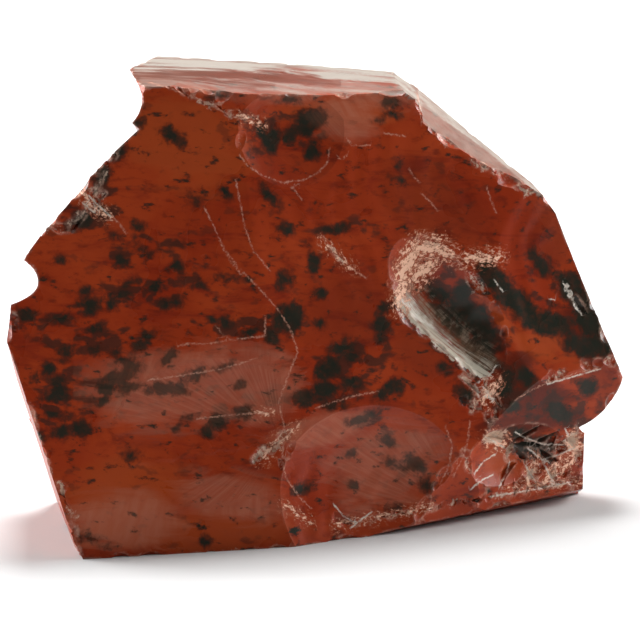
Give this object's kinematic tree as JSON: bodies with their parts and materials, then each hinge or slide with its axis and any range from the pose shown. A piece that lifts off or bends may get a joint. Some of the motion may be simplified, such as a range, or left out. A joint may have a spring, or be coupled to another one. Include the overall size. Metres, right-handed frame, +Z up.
{
  "type": "obsidian chunk",
  "caption": "Broken chunk of glossy red-and-black volcanic glass with hollow fracture scars and sharp edges, resting on a flat broken base.",
  "frame": {"origin": "on the flat base, under the middle of the stone", "axes": "+Z up, away from the base; the broad red face looks towards -Y; +X to the right of that face, along the stone's width"},
  "size_m": [0.0799, 0.0538, 0.0589],
  "materials": {
    "obsidian": "glossy fractured glass, mottled red-brown with black bands and specks"
  },
  "bodies": {
    "root": {"obsidian_chunk": "obsidian"}
  },
  "joints": []
}
